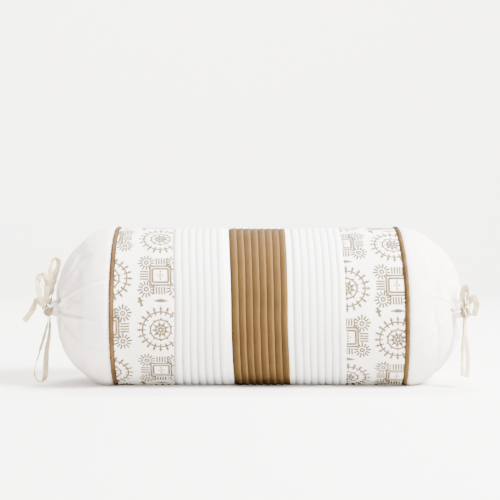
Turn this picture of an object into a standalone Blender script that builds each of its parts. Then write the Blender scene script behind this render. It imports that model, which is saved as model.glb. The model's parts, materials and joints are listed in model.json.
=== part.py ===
"""Bolster pillow: a round stuffed insert in a sewn cover whose two ends are gathered by tape drawstrings.

X runs along the bolster and Z is up. The origin lies on the surface that the bolster rests on, under its middle.
Every cloth piece is first made straight and round about its axis. The function at_rest then moves its points to
where they lie in use: pressed flat underneath by the bolster's weight, with both gathers drawn towards the front.
The tie tapes are made where they hang, in a frame at each knot: outwards from the gather, to the front, and up.
"""

import math

import bmesh
import bpy
from mathutils import Matrix, Vector

# The cover's body, in metres.
BODY_RADIUS = 0.090  # to the folds of the tucks and to the plain print cloth
FOOT_DEPTH = 0.004  # how far the underside is pressed in
COVER_WALL = 0.002  # a tucked or printed band, through a fold
TUCK_HEIGHT = 0.0011
TUCK_PITCH_SHARE = 0.92  # the part of a tuck over which it rises; the rest is its free fold
CENTRE_BAND_WIDTH = 0.060
CENTRE_TUCKS = 8
SIDE_BAND_WIDTH = 0.061
SIDE_TUCKS = 7
SIDE_PLAIN_STRIP = 0.0064  # the untucked strip beside the centre band
PRINT_BAND_WIDTH = 0.065
CLEARANCE = 0.0003  # between any two pieces that touch

# The piping that trims each end of the body.
PIPING_RADIUS = 0.0022
PIPING_WRAP = 0.0006  # the bias strip round the cord
PIPING_SLOT = math.radians(14)  # half the opening where the strip's two edges meet in the seam

# The gathered ends.
SLEEVE_WALL = 0.001
END_DEPTH = 0.072  # of the rounded end, without its dimple
DIMPLE_DEPTH = 0.009
DIMPLE_RADIUS = 0.016
GATHER_TURN = {"left": math.radians(20), "right": math.radians(34)}  # how far a gather is drawn to the front
GATHER_BLEND = math.radians(8)  # the part of the end, about its middle, that turns as one

# The drawstring tape, its hem and its bow.
TAPE_WIDTH = 0.006
TAPE_THICKNESS = 0.0008
HEM_BORE = 0.0045  # the hole left in the middle of a drawn hem
LEG_WIDTH = 0.0013  # the tape, folded, where it leaves the hem
KNOT_RADIUS = 0.0045
KNOT_DROP = 0.004  # how far the knot hangs below the middle of the gather
ROUTE_KNOT_RADIUS = 0.0045  # the size of knot that the tapes' routes were chosen round

# The insert.
CASING_WALL = 0.001
END_GAP = 0.0007  # between the layers of an end, whose flat facets aren't exactly side by side

TURN_STEPS = 28
PIPING_STEPS = 6
END_ANGLES = [math.radians(a) for a in (90, 73, 57, 42, 28, 16)]
ROUTE_STEP = 0.0045  # between the points of a tie tape

AXIS_HEIGHT = BODY_RADIUS - FOOT_DEPTH
COVER_INSIDE = BODY_RADIUS - COVER_WALL
CASING_RADIUS = COVER_INSIDE - CLEARANCE
SLEEVE_RADIUS = COVER_INSIDE + SLEEVE_WALL
CENTRE_EDGE = CENTRE_BAND_WIDTH / 2
SIDE_EDGE = CENTRE_EDGE + SIDE_BAND_WIDTH
PRINT_EDGE = SIDE_EDGE + PRINT_BAND_WIDTH
PIPING_AT = PRINT_EDGE + CLEARANCE + PIPING_RADIUS
PIPING_RING = COVER_INSIDE + PIPING_RADIUS
PIPING_CROWN = PIPING_RING + PIPING_RADIUS
END_START = PIPING_AT + PIPING_RADIUS + CLEARANCE
SINK_FADES_AT = 0.45 * BODY_RADIUS  # nearer the axis than this, the filling isn't pressed

TAPE_RING_INSIDE = HEM_BORE + SLEEVE_WALL + CLEARANCE
TAPE_RING_OUTSIDE = TAPE_RING_INSIDE + TAPE_THICKNESS
HEM_OUTSIDE = TAPE_RING_OUTSIDE + CLEARANCE + SLEEVE_WALL
HEM_LENGTH = TAPE_WIDTH + 2 * (CLEARANCE + SLEEVE_WALL)

WHITE_COTTON = ("white_cotton", (0.86, 0.84, 0.81), 0.85)
TAN_SATEEN = ("tan_sateen", (0.42, 0.27, 0.13), 0.6)
PRINT_COTTON = ("print_cotton", (0.88, 0.84, 0.76), 0.8)
CREAM_TAPE = ("cream_tape", (0.85, 0.78, 0.62), 0.8)
CALICO = ("calico", (0.80, 0.76, 0.68), 0.9)
FIBRE = ("fibre_fill", (0.92, 0.92, 0.90), 0.95)


def smooth_step(share):
    share = min(1.0, max(0.0, share))
    return share * share * (3 - 2 * share)


def gather_turn(x):
    return GATHER_TURN["left" if x < 0 else "right"]


def drawn_up(point):
    """A point of the straight bolster's end, carried round the end's own ellipsoid as its gather is drawn forwards."""
    depth = abs(point.x) - END_START
    if depth <= 0:
        return point.copy()
    along, front, up = depth / END_DEPTH, point.y / SLEEVE_RADIUS, point.z / SLEEVE_RADIUS
    from_pole = math.atan2(math.hypot(front, up), along)
    share = smooth_step((math.pi / 2 - from_pole) / (math.pi / 2 - GATHER_BLEND))
    turn = gather_turn(point.x) * share
    turned_along = along * math.cos(turn) + front * math.sin(turn)
    turned_front = front * math.cos(turn) - along * math.sin(turn)
    x = END_START + turned_along * END_DEPTH
    return Vector((math.copysign(x, point.x), turned_front * SLEEVE_RADIUS, point.z))


def pressed(point, crown):
    """A point moved in to where the floor presses it. What stands out as far as crown is pressed to the floor."""
    radius = math.hypot(point.y, point.z)
    if point.z >= 0 or radius < SINK_FADES_AT:
        return point
    down = -point.z / radius
    floor_radius = AXIS_HEIGHT / down
    sink = BODY_RADIUS - floor_radius
    if floor_radius >= crown:
        return point
    if radius <= COVER_INSIDE:
        fade = (radius - SINK_FADES_AT) / (COVER_INSIDE - SINK_FADES_AT)
        new_radius = radius - max(0.0, sink) * fade
    else:
        share = (radius - COVER_INSIDE) / (crown - COVER_INSIDE)
        inside = COVER_INSIDE - max(0.0, sink)
        new_radius = inside + share * (min(crown, floor_radius) - inside)
    return Vector((point.x, point.y * new_radius / radius, point.z * new_radius / radius))


def at_rest(point, crown=BODY_RADIUS):
    """Where a point of the straight, round bolster lies on the bolster in use."""
    moved = pressed(drawn_up(point), crown)
    return moved + Vector((0, 0, AXIS_HEIGHT))


def material_of(finish):
    name, colour, roughness = finish
    made = bpy.data.materials.get(name)
    if made is None:
        made = bpy.data.materials.new(name)
        made.use_nodes = True
        shader = made.node_tree.nodes["Principled BSDF"]
        shader.inputs["Base Color"].default_value = (*colour, 1)
        shader.inputs["Roughness"].default_value = roughness
        shader.inputs["Metallic"].default_value = 0.0
        made.diffuse_color = (*colour, 1)
    return made


def linked(name, mesh, collection, finish=None):
    piece = bpy.data.objects.new(name, mesh)
    collection.objects.link(piece)
    if finish:
        mesh.materials.append(material_of(finish))
    return piece


def bake_modifiers(piece):
    """Replaces the piece's mesh by the one that its modifiers make."""
    graph = bpy.context.evaluated_depsgraph_get()
    mesh = bpy.data.meshes.new_from_object(piece.evaluated_get(graph))
    mesh.name = piece.name
    piece.modifiers.clear()
    piece.data = mesh


def turned(name, profile, collection, finish, closed=True):
    """A profile of (x, radius) points turned about the X axis. An open one starts and ends on the axis."""
    mesh = bpy.data.meshes.new(name)
    count = len(profile)
    edges = [(i, (i + 1) % count) for i in range(count if closed else count - 1)]
    mesh.from_pydata([(x, 0, radius) for x, radius in profile], edges, [])
    piece = linked(name, mesh, collection, finish)
    screw = piece.modifiers.new("Turn", "SCREW")
    screw.axis = "X"
    screw.steps = screw.render_steps = TURN_STEPS
    screw.use_merge_vertices = True
    screw.merge_threshold = 0.00001
    bake_modifiers(piece)
    work = bmesh.new()
    work.from_mesh(piece.data)
    bmesh.ops.remove_doubles(work, verts=work.verts, dist=0.000005)
    bmesh.ops.recalc_face_normals(work, faces=work.faces)
    work.to_mesh(piece.data)
    work.free()
    return piece


def finish_cloth(piece, crown=BODY_RADIUS):
    """Lays a straight piece where it is in use, and shades it."""
    for vertex in piece.data.vertices:
        vertex.co = at_rest(vertex.co, crown)
    piece.data.shade_smooth()
    piece.data.set_sharp_from_angle(angle=math.radians(40))
    return piece


def block(name, low, high, collection):
    """A box between two corners, as a mesh object."""
    work = bmesh.new()
    bmesh.ops.create_cube(work, size=1.0)
    size, middle = Vector(high) - Vector(low), (Vector(high) + Vector(low)) / 2
    bmesh.ops.scale(work, vec=size, verts=work.verts)
    bmesh.ops.translate(work, vec=middle, verts=work.verts)
    mesh = bpy.data.meshes.new(name)
    work.to_mesh(mesh)
    work.free()
    return linked(name, mesh, collection)


def boolean(piece, tool, operation):
    """Joins the tool to the piece, or cuts it from the piece, and keeps the tool as a hidden helper."""
    modifier = piece.modifiers.new(operation.title(), "BOOLEAN")
    modifier.operation = operation
    modifier.solver = "EXACT"
    modifier.object = tool
    tool.hide_render = True
    tool.display_type = "WIRE"
    bake_modifiers(piece)


def tucked_profile(start, end, tucks, plain_start, plain_end):
    """A band's outline: folds that rise towards +X and drop at their free edge, over a plain lining side."""
    low, high = BODY_RADIUS - TUCK_HEIGHT, BODY_RADIUS
    pitch = (end - start - plain_start - plain_end) / tucks
    outline = [(start, COVER_INSIDE), (start, low)]
    first = start + plain_start
    if plain_start:
        outline.append((first, low))
    for number in range(tucks):
        outline.append((first + (number + TUCK_PITCH_SHARE) * pitch, high))
        outline.append((first + (number + 1) * pitch, low))
    if plain_end:
        outline.append((end, low))
    outline.append((end, COVER_INSIDE))
    return outline


def make_bands(collection):
    """The five bands of the body, edge to edge."""
    half = CLEARANCE / 2
    outline = tucked_profile(-CENTRE_EDGE + half, CENTRE_EDGE - half, CENTRE_TUCKS, 0, 0)
    finish_cloth(turned("centre_band", outline, collection, TAN_SATEEN))
    plain = SIDE_PLAIN_STRIP - half
    near, far = CENTRE_EDGE + half, SIDE_EDGE - half
    outline = tucked_profile(-far, -near, SIDE_TUCKS, 0, plain)
    finish_cloth(turned("left_tucked_band", outline, collection, WHITE_COTTON))
    outline = tucked_profile(near, far, SIDE_TUCKS, plain, 0)
    finish_cloth(turned("right_tucked_band", outline, collection, WHITE_COTTON))
    for side, sign in (("left", -1), ("right", 1)):
        edges = sorted((sign * (SIDE_EDGE + half), sign * PRINT_EDGE))
        outline = [(x, COVER_INSIDE) for x in edges] + [(x, BODY_RADIUS) for x in reversed(edges)]
        finish_cloth(turned(f"{side}_print_band", outline, collection, PRINT_COTTON))


def ring_section(at, ring, radius, start, end, steps):
    """Points round a ring's section, from one angle to another, measured from straight inwards."""
    angles = [start + (end - start) * i / steps for i in range(steps + 1)]
    return [(at + radius * math.sin(angle), ring - radius * math.cos(angle)) for angle in angles]


def make_piping(collection):
    """A cord in a bias strip, at each end of the body. The strip is open where its edges go into the seam."""
    inner = PIPING_RADIUS - PIPING_WRAP
    for side, sign in (("left", -1), ("right", 1)):
        at = sign * PIPING_AT
        around = (PIPING_SLOT, 2 * math.pi - PIPING_SLOT, PIPING_STEPS)
        outside = ring_section(at, PIPING_RING, PIPING_RADIUS, *around)
        inside = ring_section(at, PIPING_RING, inner, *around)
        wrap = turned(f"{side}_piping_strip", outside + inside[::-1], collection, TAN_SATEEN)
        finish_cloth(wrap, PIPING_CROWN)
        core = inner * math.cos(math.pi / PIPING_STEPS) - CLEARANCE
        section = ring_section(at, PIPING_RING, core, 0, 2 * math.pi, PIPING_STEPS)[:-1]
        finish_cloth(turned(f"{side}_piping_cord", section, collection, CALICO), PIPING_CROWN)


def end_point(angle):
    """A point (depth, radius) of the end's outline, at an angle from its pole."""
    radius = SLEEVE_RADIUS * math.sin(angle)
    dimple = DIMPLE_DEPTH * math.exp(-((radius / DIMPLE_RADIUS) ** 2))
    return (END_DEPTH * math.cos(angle) - dimple, radius)


def end_path():
    """The end's outline from the body to the outside of the drawn hem."""
    return [end_point(angle) for angle in END_ANGLES + [math.asin(HEM_OUTSIDE / SLEEVE_RADIUS)]]


def inset_path(path, distance):
    """A path from the body inwards, moved in by a distance that is the same all along each of its pieces."""
    points = [Vector(point) for point in path]
    first, last = points[0], points[-1]
    before = Vector((2 * first.x - points[1].x, points[1].y))
    after = Vector((points[-2].x, -points[-2].y)) if last.y < 1e-9 else 2 * last - points[-2]
    moved = []
    for previous, point, following in zip([before, *points], points, [*points[1:], after]):
        arriving, leaving = (point - previous).normalized(), (following - point).normalized()
        square = Vector((arriving.y + leaving.y, -arriving.x - leaving.x)).normalized()
        reach = distance / (square.x * leaving.y - square.y * leaving.x)
        moved.append(tuple(point + square * reach))
    return moved


def hem_start():
    """How deep the drawn hem starts: where the end's outline reaches the hem's outside."""
    return end_path()[-1][0]


def hem_outline():
    """The hem, (depth, radius), on the cloth's right side: out, round its rim, and back in to its raw edge."""
    corner = SLEEVE_WALL
    start, rim = hem_start(), hem_start() + HEM_LENGTH
    return [
        (rim - corner, HEM_OUTSIDE),
        (rim, HEM_OUTSIDE - corner),
        (rim, HEM_BORE + corner),
        (rim - corner, HEM_BORE),
        (start + corner, HEM_BORE),
        (start, HEM_BORE + corner),
        (start, TAPE_RING_INSIDE + CLEARANCE),
    ]


def leg_height():
    """The folded tape legs leave the hem at its bottom, in the middle of the tape ring's wall."""
    return -(TAPE_RING_INSIDE + TAPE_RING_OUTSIDE) / 2


def make_sleeve(side, sign, collection, helpers):
    """The white end, from the piping to the drawn hem, with a buttonhole for the drawstring's two legs."""
    path = end_path() + hem_outline()
    path += reversed(inset_path(path, SLEEVE_WALL))
    profile = [(sign * (END_START + depth), radius) for depth, radius in path]
    sleeve = turned(f"{side}_end_sleeve", profile, collection, WHITE_COTTON)
    rim = END_START + hem_start() + HEM_LENGTH
    half_height = TAPE_THICKNESS / 2 + 0.8 * CLEARANCE
    half_width = LEG_WIDTH + 2 * CLEARANCE
    ends = sorted((sign * (rim - 2 * SLEEVE_WALL), sign * (rim + SLEEVE_WALL)))
    hole = block(
        f"{side}_buttonhole",
        (ends[0], -half_width, leg_height() - half_height),
        (ends[1], half_width, leg_height() + half_height),
        helpers,
    )
    boolean(sleeve, hole, "DIFFERENCE")
    finish_cloth(sleeve)


def knot_depth():
    """The knot's middle on the straight bolster: just clear of the hem's rim."""
    return END_START + hem_start() + HEM_LENGTH + CLEARANCE + KNOT_RADIUS


def make_drawstring(side, sign, collection, helpers):
    """The tape inside the hem, whose two folded legs come out of the buttonhole to the knot."""
    start = END_START + hem_start() + SLEEVE_WALL + CLEARANCE
    edges = sorted((sign * start, sign * (start + TAPE_WIDTH)))
    outline = [(x, TAPE_RING_INSIDE) for x in edges] + [(x, TAPE_RING_OUTSIDE) for x in reversed(edges)]
    ring = turned(f"{side}_drawstring", outline, collection, CREAM_TAPE)
    below_knot = leg_height() + KNOT_DROP
    reach = math.sqrt(KNOT_RADIUS**2 - below_knot**2 - LEG_WIDTH**2)
    leg_end = knot_depth() - reach - 2 * CLEARANCE
    ends = sorted((sign * (start + TAPE_WIDTH / 2), sign * leg_end))
    for front in (-1, 1):
        across = sorted((front * CLEARANCE, front * (CLEARANCE + LEG_WIDTH)))
        leg = block(
            f"{side}_leg_{'front' if front < 0 else 'rear'}",
            (ends[0], across[0], leg_height() - TAPE_THICKNESS / 2),
            (ends[1], across[1], leg_height() + TAPE_THICKNESS / 2),
            helpers,
        )
        boolean(ring, leg, "UNION")
    finish_cloth(ring)


def make_insert(collection):
    """The stuffed insert: a tube of calico, two end pieces, and the fibre inside them."""
    length = END_START - CLEARANCE
    inner = CASING_RADIUS - CASING_WALL
    outline = [(-length, inner), (length, inner), (length, CASING_RADIUS), (-length, CASING_RADIUS)]
    finish_cloth(turned("insert_panel", outline, collection, CALICO))
    path = end_path() + [end_point(0.0)]
    inset = SLEEVE_WALL + END_GAP
    wall = inset_path(path, inset)[::-1] + inset_path(path, inset + CASING_WALL)
    for side, sign in (("left", -1), ("right", 1)):
        profile = [(sign * (END_START + depth), radius) for depth, radius in wall]
        finish_cloth(turned(f"{side}_insert_end", profile, collection, CALICO, closed=False))
    inside = inset_path(path, inset + CASING_WALL + END_GAP)
    right = [(END_START + depth, radius) for depth, radius in inside]
    left = [(-x, radius) for x, radius in reversed(right)]
    finish_cloth(turned("insert_filling", left + right, collection, FIBRE, closed=False))


def knot_frame(side):
    """The knot's middle, and the directions out of the gather, to the front and up, as a matrix."""
    sign = -1 if side == "left" else 1
    middle = at_rest(Vector((sign * knot_depth(), 0, -KNOT_DROP)))
    turn = GATHER_TURN[side]
    out = Vector((sign * math.cos(turn) / END_DEPTH, -math.sin(turn) / SLEEVE_RADIUS, 0)).normalized()
    up = Vector((0, 0, 1))
    front = out.cross(up) if out.cross(up).y < 0 else up.cross(out)
    return Matrix((out, front, up)).transposed().to_4x4(), middle


def make_knot(side, collection):
    work = bmesh.new()
    bmesh.ops.create_uvsphere(work, u_segments=12, v_segments=8, radius=KNOT_RADIUS)
    mesh = bpy.data.meshes.new(f"{side}_knot")
    work.to_mesh(mesh)
    work.free()
    mesh.shade_smooth()
    knot = linked(f"{side}_knot", mesh, collection, CREAM_TAPE)
    knot.location = knot_frame(side)[1]


def off_the_knot(stop):
    """A route's end, moved straight out or in to suit the knot's real size."""
    bigger = KNOT_RADIUS - ROUTE_KNOT_RADIUS
    return Vector((*(stop.xyz + stop.xyz.normalized() * bigger), stop.w))


def smooth_route(route, free_end):
    """Points every ROUTE_STEP along a smooth curve through the route's own points. Each also has its turn."""
    points = [Vector(stop) for stop in route]
    points[0] = off_the_knot(points[0])
    if not free_end:
        points[-1] = off_the_knot(points[-1])
    padded = [2 * points[0] - points[1], *points, 2 * points[-1] - points[-2]]
    fine = []
    for before, start, end, after in zip(padded, padded[1:], padded[2:], padded[3:]):
        steps = max(1, round((end.xyz - start.xyz).length / ROUTE_STEP))
        for number in range(steps):
            t = number / steps
            fine.append(
                0.5
                * (
                    2 * start
                    + (end - before) * t
                    + (2 * before - 5 * start + 4 * end - after) * t**2
                    + (3 * start - before - 3 * end + after) * t**3
                )
            )
    return fine + [points[-1]]


def make_tape(name, side, route, collection):
    """A flat tape along a route of (out, front, up, turn) stops: millimetres from the knot's middle, and degrees.

    At turn 0 the tape's width lies to the front, so that it bends outwards and inwards as tape does.
    """
    axes, middle = knot_frame(side)
    route = [(x / 1000, y / 1000, z / 1000, turn / 1000) for x, y, z, turn in route]
    stops = smooth_route(route, free_end=name.endswith("tail"))
    work = bmesh.new()
    sections = []
    for number, stop in enumerate(stops):
        ahead = stops[min(number + 1, len(stops) - 1)].xyz - stops[max(number - 1, 0)].xyz
        ahead.normalize()
        across = Vector((0, 1, 0)) - ahead * ahead.y
        across = Matrix.Rotation(math.radians(stop.w * 1000), 3, ahead) @ across.normalized()
        through = ahead.cross(across)
        half, thick = across * TAPE_WIDTH / 2, through * TAPE_THICKNESS / 2
        corners = [half * 0.9 - thick, half, half * 0.9 + thick, thick - half * 0.9, -half, -half * 0.9 - thick]
        sections.append([work.verts.new(stop.xyz + corner) for corner in corners])
    for first, second in zip(sections, sections[1:]):
        for i in range(len(first)):
            j = (i + 1) % len(first)
            work.faces.new((first[i], first[j], second[j], second[i]))
    work.faces.new(sections[0][::-1])
    work.faces.new(sections[-1])
    bmesh.ops.transform(work, matrix=axes, verts=work.verts)
    bmesh.ops.recalc_face_normals(work, faces=work.faces)
    mesh = bpy.data.meshes.new(name)
    work.to_mesh(mesh)
    work.free()
    mesh.shade_smooth()
    mesh.set_sharp_from_angle(angle=math.radians(40))
    tape = linked(name, mesh, collection, CREAM_TAPE)
    tape.location = middle


# Each tape's route, chosen by hand: (out, front, up) from the knot's middle in mm, and the tape's turn in degrees.
TIE_ROUTES = {
    "left": {
        "left_tall_loop": [
            (-0.4, -0.4, 4.95, 0), (0, -2, 14, -10), (-1.5, -4, 26, -30), (-3, -7, 38, -40), (-3.5, -10, 49, -25),
            (-6, -13, 57, 0), (-10.5, -15, 59.5, 10), (-13.5, -15, 54, 20), (-10, -12, 44, 20), (-6.8, -8, 32, 20),
            (-4.5, -4, 20, 10), (-2.6, -1.6, 10, 0), (-1.7, -0.6, 4.95, 0),
        ],
        "left_short_loop": [
            (2, 2.6, 4.6, 0), (2.6, 3, 10, 0), (2.6, 3, 20, 15), (2, 3, 31, 35), (4, 3, 40, 45), (8, 3, 42, 50),
            (11.5, 3, 37, 45), (11.8, 3, 27, 40), (9, 3, 15, 20), (5.4, 2.8, 7.5, 10), (3.5, 2.6, 3.9, 10),
        ],
        "left_short_tail": [
            (4.7, -3.2, 2.2, 0), (7.5, -3.8, 7, 0), (10.5, -4, 12, 10), (13.5, -4, 12.5, 25),
            (15.5, -4, 6.5, 35), (18.5, -4, 0.5, 45), (22, -4, -4.5, 50), (26.5, -4, -10, 45),
        ],
        "left_hanging_loop": [
            (0.6, 0.6, -4.95, 0), (1.6, 0.8, -14, 0), (5.2, 1.2, -28, 10), (9.8, 1.5, -43, 10),
            (13.8, 1, -57, 0), (15.4, 0.5, -67, -8), (13.5, 0, -74, -12), (9.6, -0.5, -77.4, -8),
            (5.6, -1, -76, 10), (3.2, -1.5, -70, 45), (2.8, -1.5, -58, 70), (1.8, -1, -42, 50),
            (-0.6, -0.6, -28, 20), (-1.6, -0.4, -14, 0), (-1.6, -0.2, -4.95, 0),
        ],
    },
    "right": {
        "right_tall_loop": [
            (-1.1, 0.4, 4.95, 0), (-3, 0, 13, -20), (-2.8, -0.5, 22, -35), (-0.6, -1, 28.5, -30),
            (1.9, -0.5, 28, -20), (3.2, 0, 21, 10), (2.4, 0.4, 12, 10), (0.9, 0.4, 4.95, 0),
        ],
        "right_short_loop": [
            (4.1, 0.4, 3.2, 0), (5.6, 0.4, 9, 0), (7, 0.4, 15, 20), (10, 0.4, 17.5, 40), (12.6, 0.4, 13.5, 40),
            (12.8, 0.4, 6, 30), (10.6, 0.4, -0.5, 10), (7.8, 0.4, -2.6, 0), (5.1, 0.4, -1.4, 0),
        ],
        "right_rear_tail": [
            (-1.5, -0.8, -4.95, 0), (-2.2, -2, -20, 15), (-3.8, -3, -38, 30), (-4.6, -3.5, -54, 35),
            (-4.4, -4, -69.5, 30),
        ],
        "right_front_tail": [
            (0.5, 0.8, -4.95, 0), (0.8, 2, -20, -10), (2.8, 3, -36, -35), (4.2, 3.5, -52, -45),
            (3, 4, -70, -30),
        ],
    },
}


def clear_scene():
    for piece in list(bpy.data.objects):
        bpy.data.objects.remove(piece, do_unlink=True)


def new_collection(name):
    collection = bpy.data.collections.new(name)
    bpy.context.scene.collection.children.link(collection)
    return collection


def main():
    clear_scene()
    bolster, helpers = new_collection("bolster_pillow"), new_collection("cutters")
    make_bands(bolster)
    make_piping(bolster)
    make_insert(bolster)
    for side, sign in (("left", -1), ("right", 1)):
        make_sleeve(side, sign, bolster, helpers)
        make_drawstring(side, sign, bolster, helpers)
        make_knot(side, bolster)
        for name, route in TIE_ROUTES[side].items():
            make_tape(name, side, route, bolster)
    helpers.hide_render = True


main()
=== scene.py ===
# %% [markdown]
# # A bolster pillow
#
# A bolster is a round, stuffed insert in a sewn cover. This cover has seven parts in a row: a white gathered end,
# a printed band, a white tucked band, a brown tucked band, and then the same again the other way round.
# Brown piping trims the body at both ends, and a cream cotton tape draws each end shut and is tied in a bow.
#
# Each cloth piece is first made straight and round about the X axis, as a pattern cutter thinks of it, and only
# then laid where it is in use: pressed flat where it rests, drawn up at its ends, and a little askew at its seams.

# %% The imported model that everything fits
import math

import bmesh
import bpy
import numpy as np
from mathutils import Matrix, Vector
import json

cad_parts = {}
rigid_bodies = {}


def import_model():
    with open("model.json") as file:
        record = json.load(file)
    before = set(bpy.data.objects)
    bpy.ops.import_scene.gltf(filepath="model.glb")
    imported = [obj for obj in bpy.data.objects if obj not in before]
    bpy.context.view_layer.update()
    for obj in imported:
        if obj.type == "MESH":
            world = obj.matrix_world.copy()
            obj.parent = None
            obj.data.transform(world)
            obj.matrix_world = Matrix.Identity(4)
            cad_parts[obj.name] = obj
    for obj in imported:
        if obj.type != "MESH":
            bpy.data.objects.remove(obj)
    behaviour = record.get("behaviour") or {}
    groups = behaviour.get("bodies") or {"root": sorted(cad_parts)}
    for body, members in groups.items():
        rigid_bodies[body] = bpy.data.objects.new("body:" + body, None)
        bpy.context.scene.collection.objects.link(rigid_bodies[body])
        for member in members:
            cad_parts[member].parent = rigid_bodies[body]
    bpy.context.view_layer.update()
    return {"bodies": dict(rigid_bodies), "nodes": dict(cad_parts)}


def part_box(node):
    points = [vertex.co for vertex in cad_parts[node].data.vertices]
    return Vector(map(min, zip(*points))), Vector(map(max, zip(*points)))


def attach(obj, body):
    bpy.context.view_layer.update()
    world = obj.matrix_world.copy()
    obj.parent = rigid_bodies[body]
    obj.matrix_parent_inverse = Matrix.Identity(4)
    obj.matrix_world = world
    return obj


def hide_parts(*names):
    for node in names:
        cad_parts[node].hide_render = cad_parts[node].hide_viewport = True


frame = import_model()
MM = 0.001

# %% [markdown]
# ## Sizes
#
# The sizes come from the imported model's own pieces, so the cloth lands where the solids are. The few that a box
# can't give, such as the depth of the dimple in a gathered end, are given beside them.

# %% Sizes read from the model
SEAMS = [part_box(node)[1][0] for node in ("centre_band", "right_tucked_band")]
PRINT_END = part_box("right_print_band")[1][0]
BODY_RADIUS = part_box("centre_band")[1][1]
AXIS_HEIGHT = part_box("centre_band")[1][2] - BODY_RADIUS
COVER_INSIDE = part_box("insert_panel")[1][1] + 0.3 * MM
PIPING_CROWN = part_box("right_piping_strip")[1][1]
PIPING_FROM, PIPING_TO = (corner[0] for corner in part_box("right_piping_strip"))
PIPING_AT, PIPING_RADIUS = (PIPING_FROM + PIPING_TO) / 2, (PIPING_TO - PIPING_FROM) / 2
END_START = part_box("right_end_sleeve")[0][0]
print(f"body radius {BODY_RADIUS / MM:.1f} mm, piping at {PIPING_AT / MM:.1f} mm, ends from {END_START / MM:.1f} mm")

# %% Sizes given here
SLEEVE_RADIUS = COVER_INSIDE + 1 * MM
END_DEPTH = 72 * MM
DIMPLE_DEPTH, DIMPLE_RADIUS = 9 * MM, 16 * MM
GATHER_TURN = {"left": math.radians(20), "right": math.radians(34)}
GATHER_BLEND = math.radians(8)
HEM_OUTSIDE, HEM_BORE, HEM_LENGTH = 7.9 * MM, 4.5 * MM, 8.6 * MM
TAPE_WIDTH, TAPE_THICKNESS = 6 * MM, 0.8 * MM
CLOTH = 0.6 * MM
FLOOR_GAP = 0.05 * MM
SIDES = (("left", -1), ("right", 1))

# %% [markdown]
# ## The camera
#
# The bolster is seen from the front, a little above its middle, with a long lens so that its ends stay round.

# %% Camera
lens = bpy.data.cameras.new("camera")
lens.lens, lens.sensor_width = 84.7, 36
camera = bpy.data.objects.new("camera", lens)
camera.location, camera.rotation_euler = (-0.010, -1.343, 0.151), (math.pi / 2, 0, 0)
bpy.context.scene.collection.objects.link(camera)
bpy.context.scene.camera = camera
print("camera at", tuple(round(value, 3) for value in camera.location))

# %% [markdown]
# ## From the straight pattern to the bolster in use
#
# Four small functions carry a point of the straight bolster to its place. `drawn_up` slides an end's cloth round
# its own ellipsoid, because both gathers sit towards the front. `plump` adds the filling's soft lumps. `pressed`
# flattens the underside. `askew` lets the seams wander by a few millimetres, as they do when a full cover is pulled
# over its insert.

# %% Laying the cloth
SINK_FADES_AT = 0.45 * BODY_RADIUS
# How far each seam wanders along the bolster at its top, middle and foot, in millimetres.
WANDER = {-231: (0, 0, 0), -158: (-0.6, 0, -1.6), -91: (-5.5, 0, -3), -30: (-4.6, -0.5, 2.9), 30: (-1.4, -0.3, 4.8),
          91: (-1.8, 0.3, 5.6), 158: (-2.9, 0, 4.2), 231: (0, 0, 0)}


def smooth_step(share):
    share = np.clip(share, 0, 1)
    return share * share * (3 - 2 * share)


def drawn_up(points):
    """The ends' points, turned round the end's ellipsoid towards the front."""
    points = points.copy()
    for side, sign in SIDES:
        here = sign * points[:, 0] > END_START
        depth = sign * points[here, 0] - END_START
        along, front, up = depth / END_DEPTH, points[here, 1] / SLEEVE_RADIUS, points[here, 2] / SLEEVE_RADIUS
        from_pole = np.arctan2(np.hypot(front, up), along)
        turn = GATHER_TURN[side] * smooth_step((math.pi / 2 - from_pole) / (math.pi / 2 - GATHER_BLEND))
        points[here, 0] = sign * (END_START + END_DEPTH * (along * np.cos(turn) + front * np.sin(turn)))
        points[here, 1] = SLEEVE_RADIUS * (front * np.cos(turn) - along * np.sin(turn))
    return points


def pressed(points, crown):
    """The underside's points, moved in to the surface that the bolster rests on."""
    points = points.copy()
    radius = np.maximum(np.hypot(points[:, 1], points[:, 2]), 1e-6)
    down = np.maximum(-points[:, 2] / radius, 1e-6)
    floor_radius = AXIS_HEIGHT / down
    sink = np.maximum(0, BODY_RADIUS - floor_radius)
    fade = np.clip((radius - SINK_FADES_AT) / (COVER_INSIDE - SINK_FADES_AT), 0, 1)
    share = (radius - COVER_INSIDE) / (crown - COVER_INSIDE)
    outer = COVER_INSIDE - sink + share * (np.minimum(crown, floor_radius) - COVER_INSIDE + sink)
    moved = np.where(radius <= COVER_INSIDE, radius - sink * fade, outer)
    moved = np.where((floor_radius < crown) & (points[:, 2] < 0), moved, radius)
    points[:, 1:] *= (moved / radius)[:, None]
    return points


def askew(points):
    """The seams' wandering, which dies away at the gathers."""
    height = points[:, 2] / BODY_RADIUS
    stations = np.array(sorted(WANDER)) * MM
    top, middle, foot = (np.interp(points[:, 0], stations, [WANDER[x][i] for x in sorted(WANDER)]) for i in range(3))
    share = np.minimum(1, np.abs(height)) ** 1.6
    shift = middle + np.where(height > 0, top - middle, foot - middle) * share
    points = points.copy()
    points[:, 0] += shift * MM
    return points


# Each lump wave: its height in millimetres, its waves round the bolster, its slant along it, and where it starts.
LUMPS = ((0.22, 2, 31, 0.7), (0.18, 3, -47, 2.1), (0.12, 5, 83, 4.0), (0.1, 7, -29, 0))
WAIST_DEPTH, WAIST_WIDTH = 0.5, 1.5 * MM
PUCKER_HEIGHT, PUCKERS_AROUND, PUCKERS_REACH = 0.34, 29, 8 * MM


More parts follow.
